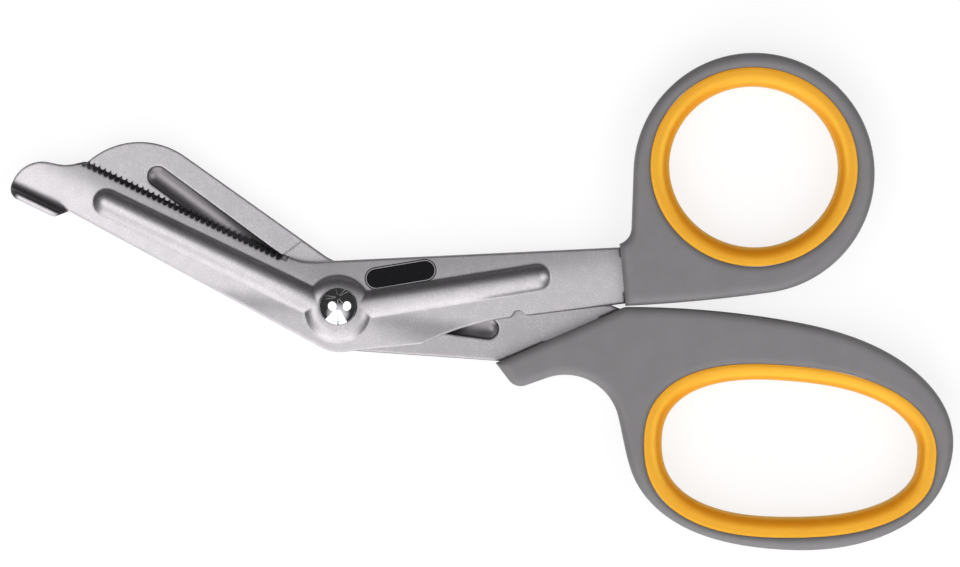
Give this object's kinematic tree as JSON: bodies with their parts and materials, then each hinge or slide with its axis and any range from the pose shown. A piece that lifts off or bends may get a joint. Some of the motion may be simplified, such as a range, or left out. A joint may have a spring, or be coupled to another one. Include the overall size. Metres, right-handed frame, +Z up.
{
  "type": "bandage scissors",
  "caption": "Bandage scissors with angled, ribbed sheet-steel blades, a blunt bent foot, a scalloped cutting edge and soft-lined handle loops.",
  "frame": {"origin": "middle of the bounding box, on the plane that the handles' undersides rest on", "axes": "+X from the jaws' tip to the handles, +Y towards the thumb loop, +Z up from the rest plane along the pivot"},
  "size_m": [0.1782, 0.094, 0.01],
  "materials": {
    "blade_steel": "satin, finely grained",
    "pivot_steel": "polished",
    "handle_plastic": "satin grey",
    "grip_rubber": "satin amber"
  },
  "bodies": {
    "thumb_half": {"front_blade": "blade_steel", "thumb_handle": "handle_plastic", "thumb_grip_ring": "grip_rubber", "pivot_screw": "pivot_steel", "pivot_nut": "pivot_steel"},
    "finger_half": {"rear_blade": "blade_steel", "finger_handle": "handle_plastic", "finger_grip_ring": "grip_rubber"}
  },
  "joints": [
    {"name": "blade_pivot", "type": "hinge", "parent": "thumb_half", "child": "finger_half", "pos_m": [-0.02723, -0.00084, 0.005], "axis": [0, 0, -1], "range_deg": [0, 60]}
  ]
}
